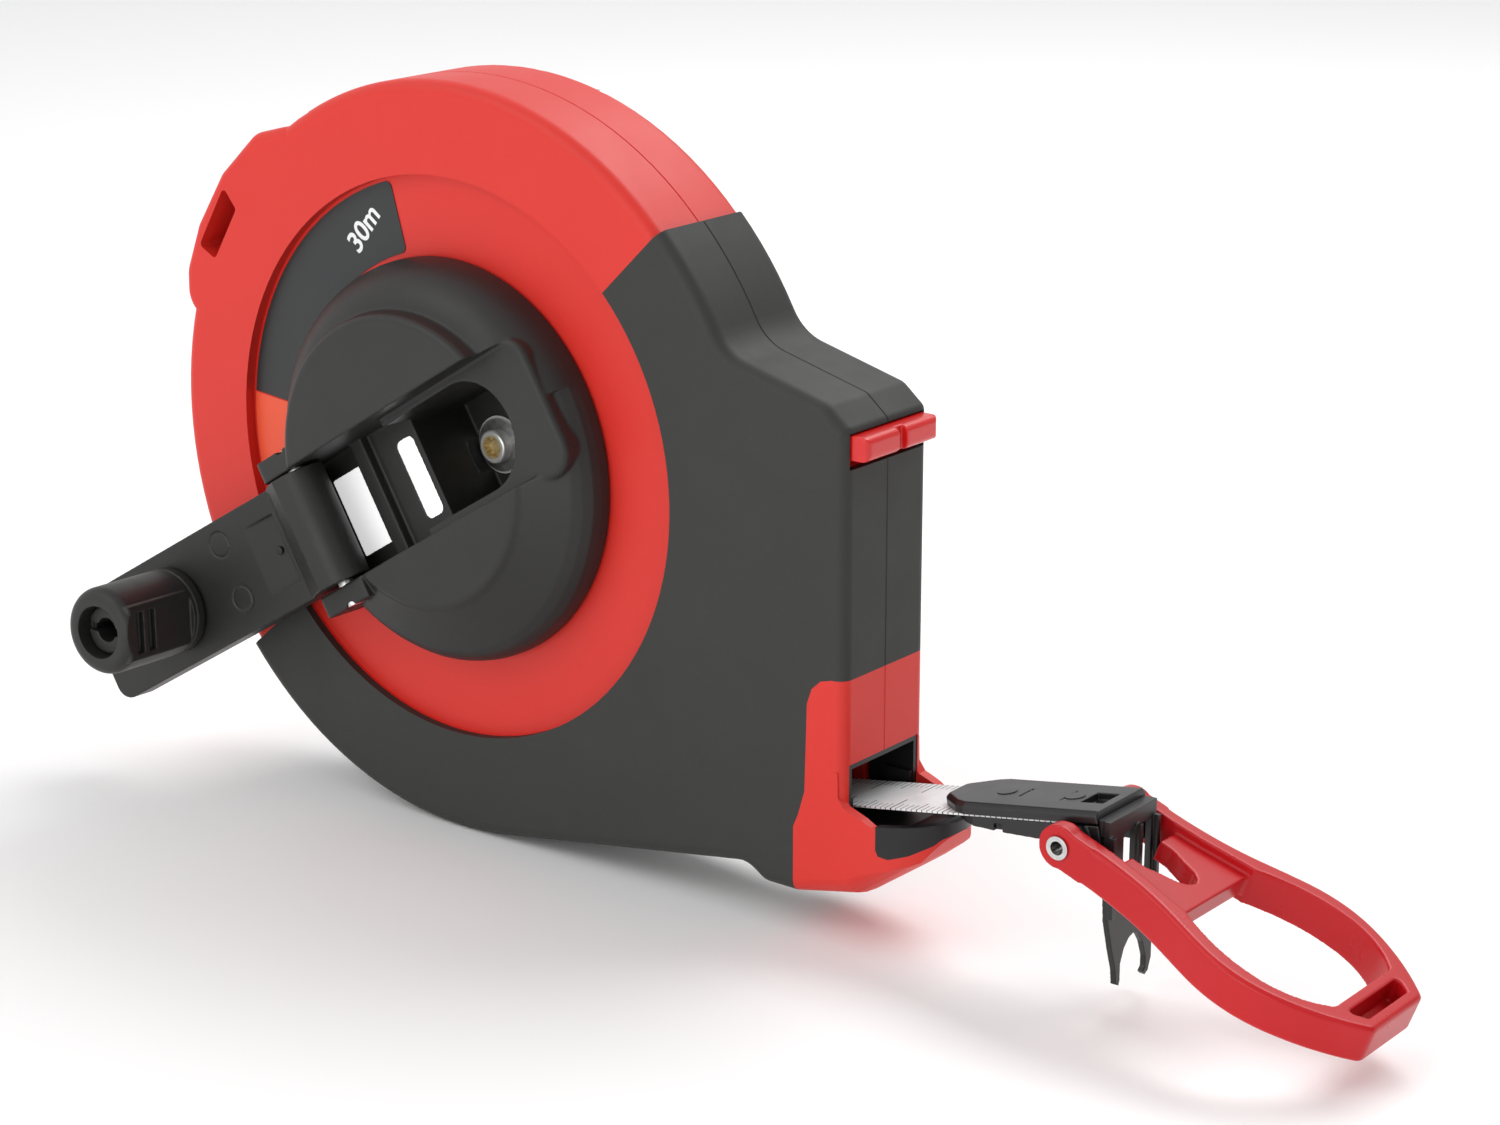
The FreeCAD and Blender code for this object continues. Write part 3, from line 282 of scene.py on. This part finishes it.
def moulded(name, dark, light, rough, grain, depth, coat=0.0, specular=0.42):
    """Moulded plastic: slow colour drift, spark-eroded grain and a rough patchiness."""
    paint = Paint(name, sum(rough) / 2, coat=coat, specular=specular)
    fine = paint.noise(grain, 2.0, 0.7)
    pits = paint.cells(grain * 0.8)
    paint.colour(paint.mix(paint.noise(DRIFT, 4.0), dark, light))
    paint.roughness(paint.noise(PATCHES), *rough)
    paint.bump((fine, 0.5, depth), (pits, 0.35, depth * 0.8))
    return paint.mat


def metal(name, dark, light, rough):
    """Bare steel with fine scratches that also change its gloss."""
    paint = Paint(name, sum(rough) / 2, metallic=1.0)
    scratch = paint.noise(WEAR, 5.0, 0.75)
    paint.colour(paint.speckle(WEAR, dark, light))
    paint.roughness(scratch, *rough)
    paint.bump((scratch, 0.25, 0.01))
    return paint.mat


def blade_material():
    """White lacquered steel with ticks every millimetre along both edges."""
    paint = Paint("blade_paint", 0.42, coat=0.05)
    x, y, z = paint.axes()
    run = paint.math("ADD", paint.math("MULTIPLY", x, math.cos(BLADE_SLOPE) / MM),
                     paint.math("MULTIPLY", z, math.sin(BLADE_SLOPE) / MM))
    off = paint.math("SUBTRACT", y, BLADE_MIDDLE_Y)
    off = paint.math("ABSOLUTE", paint.math("MULTIPLY", off, 1 / MM))
    marks = None
    for step, length, width in TICKS:
        wrapped = paint.math("WRAP", run, step / 2, -step / 2)
        near = paint.math("LESS_THAN", paint.math("ABSOLUTE", wrapped), width / 2)
        edge = paint.math("GREATER_THAN", off, BLADE_HALF_WIDTH - length)
        tick = paint.math("MULTIPLY", near, edge)
        marks = tick if marks is None else paint.math("MAXIMUM", marks, tick)
    base = paint.speckle(LACQUER, (0.70, 0.71, 0.72), (0.80, 0.80, 0.81))
    paint.colour(paint.mix(marks, base, BLADE_INK))
    paint.roughness(paint.noise(WEAR), 0.34, 0.5)
    paint.bump((paint.noise(ORANGE_PEEL), 0.2, 0.01))
    return paint.mat


def painted_glow_white(name):
    """Bright white plate with a painted glow: its emission keeps it white in the hub's shade,
    where no lamp lights it.
    """
    paint = Paint(name, 0.5)
    paint.colour(paint.speckle(WINDOW_DRIFT, (0.88, 0.88, 0.88), (0.93, 0.93, 0.93)))
    # Painted glow: this emission lights the plate inside the hub's shade; the plate is no lamp.
    paint.shader.inputs["Emission Color"].default_value = (1, 1, 1, 1)
    paint.shader.inputs["Emission Strength"].default_value = 0.55
    paint.roughness(paint.noise(WEAR), 0.45, 0.6)
    paint.bump((paint.noise(WINDOW_GRAIN), 0.2, 0.01))
    return paint.mat


def plated_screw_material():
    """Pale rim around a yellow passivated socket; both colours are lighter than the plating, as
    painted light against the shade of the screw's pocket.
    """
    paint = Paint("yellow_zinc_painted_light", 0.3, metallic=0.5)
    x, _, z = paint.axes()
    squares = paint.math("ADD", paint.math("POWER", x, 2.0), paint.math("POWER", z, 2.0))
    rim = paint.math("GREATER_THAN", paint.math("POWER", squares, 0.5), SOCKET_RADIUS * MM)
    # Painted light: the yellow and the pale rim colour are raised to stand in for light that the
    # pocket's shade takes away.
    painted_light_tint = paint.speckle(WEAR, (0.62, 0.46, 0.20), (0.90, 0.76, 0.44))
    paint.colour(paint.mix(rim, painted_light_tint, (0.86, 0.86, 0.83)))
    paint.roughness(paint.noise(WEAR), 0.16, 0.32)
    paint.bump((paint.noise(ROLLING), 0.25, 0.01))
    return paint.mat


def build_materials():
    """One material for each material slot, and one for the printed marking."""
    return {
        "red_plastic": moulded("red_shell", (0.63, 0.020, 0.012), (0.69, 0.028, 0.018),
                               (0.42, 0.52), 3600.0, 0.02),
        "red_ring_plastic": moulded("red_ring", (0.47, 0.006, 0.010), (0.54, 0.009, 0.013),
                                    (0.24, 0.34), 2600.0, 0.006, specular=0.34),
        "red_button_plastic": moulded("red_button", (0.60, 0.010, 0.010), (0.68, 0.014, 0.013),
                                      (0.20, 0.28), 2000.0, 0.005, coat=0.2),
        "grip_rubber": moulded("grip_rubber", (0.026, 0.027, 0.025), (0.033, 0.034, 0.031),
                               (0.50, 0.64), 3800.0, 0.03, specular=0.36),
        "crank_plastic": moulded("crank_nylon", (0.015, 0.015, 0.014), (0.022, 0.022, 0.021),
                                 (0.40, 0.54), 3000.0, 0.03, specular=0.4),
        "liner_plastic": moulded("liner_black", (0.006, 0.006, 0.007), (0.011, 0.011, 0.012),
                                 (0.28, 0.42), 2600.0, 0.015, specular=0.4),
        "black_steel": moulded("black_oxide", (0.006, 0.006, 0.007), (0.014, 0.014, 0.015),
                               (0.28, 0.42), 2200.0, 0.012, specular=0.5),
        "bearing_plastic": moulded("acetal", (0.50, 0.50, 0.48), (0.58, 0.58, 0.55),
                                   (0.4, 0.5), 2600.0, 0.015),
        "white_plastic": painted_glow_white("window_white_painted_glow"),
        "white_print": moulded("white_print", (0.80, 0.80, 0.80), (0.88, 0.88, 0.88),
                               (0.4, 0.5), 2600.0, 0.004),
        "brake_rubber": moulded("brake_rubber", (0.06, 0.06, 0.06), (0.09, 0.09, 0.09),
                                (0.6, 0.8), 2600.0, 0.03),
        "label_film": moulded("label_film", (0.020, 0.022, 0.023), (0.026, 0.028, 0.028),
                              (0.34, 0.44), 4200.0, 0.006),
        "label_orange": moulded("label_orange", (0.80, 0.085, 0.030), (0.86, 0.10, 0.04),
                                (0.36, 0.46), 4200.0, 0.006),
        "screw_steel": metal("zinc_steel", (0.50, 0.50, 0.50), (0.72, 0.72, 0.71), (0.22, 0.4)),
        "plated_screw": plated_screw_material(),
        "pin_steel": metal("eyelet_steel", (0.50, 0.50, 0.50), (0.75, 0.75, 0.74), (0.15, 0.3)),
        "blade_paint": blade_material(),
    }


# ------------------------------------------------------------------ pieces
def smooth(obj):
    """Smooth shading with hard edges kept."""
    for face in obj.data.polygons:
        face.use_smooth = True
    modifier = obj.modifiers.new("sharp", "EDGE_SPLIT")
    modifier.split_angle = math.radians(EDGE_ANGLE)


def soften(obj, grain, rounds, share):
    """Round every edge a little, as on moulded or cast pieces."""
    remesh = obj.modifiers.new("soft", "REMESH")
    remesh.mode = "VOXEL"
    remesh.voxel_size = grain * MM
    remesh.use_smooth_shade = True
    ease = obj.modifiers.new("ease", "SMOOTH")
    ease.factor = 0.5
    ease.iterations = rounds
    if share < 1.0:
        thin = obj.modifiers.new("thin", "DECIMATE")
        thin.ratio = share


def dress(materials):
    """Give each carried-over node its material and its edges."""
    slots = {part["node"]: part["material_slot"] for part in frame["record"]["subparts"]}
    for name, obj in NODES.items():
        obj.data.materials.clear()
        obj.data.materials.append(materials[slots[name]])
        if name in SOFT_NODES:
            soften(obj, *SOFT_NODES[name])
        else:
            smooth(obj)


def add_label_mark(material):
    """Length marking printed on the label."""
    curve = bpy.data.curves.new("mark", "FONT")
    curve.body = "30m"
    curve.size = LETTER_HEIGHT * MM
    curve.extrude = LETTER_THICKNESS * MM
    curve.offset = LETTER_SWELL * MM
    curve.align_x = "CENTER"
    text = bpy.data.objects.new("mark", curve)
    bpy.context.scene.collection.objects.link(text)
    depsgraph = bpy.context.evaluated_depsgraph_get()
    mesh = bpy.data.meshes.new_from_object(text.evaluated_get(depsgraph))
    bpy.data.objects.remove(text)
    stand = Matrix.Rotation(math.radians(90), 4, "X")
    turn = Matrix.Rotation(-math.radians(LABEL_TURN), 4, "Y")
    place = Matrix.Translation((LABEL_MARK[0], LABEL_Y, LABEL_MARK[1]))
    mesh.transform(place @ turn @ stand)
    obj = bpy.data.objects.new("label_length_mark", mesh)
    bpy.context.scene.collection.objects.link(obj)
    mesh.materials.append(material)
    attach(obj, "case")


def main():
    materials = build_materials()
    dress(materials)
    add_label_mark(materials["white_print"])
    add_camera()
    add_studio()


main()
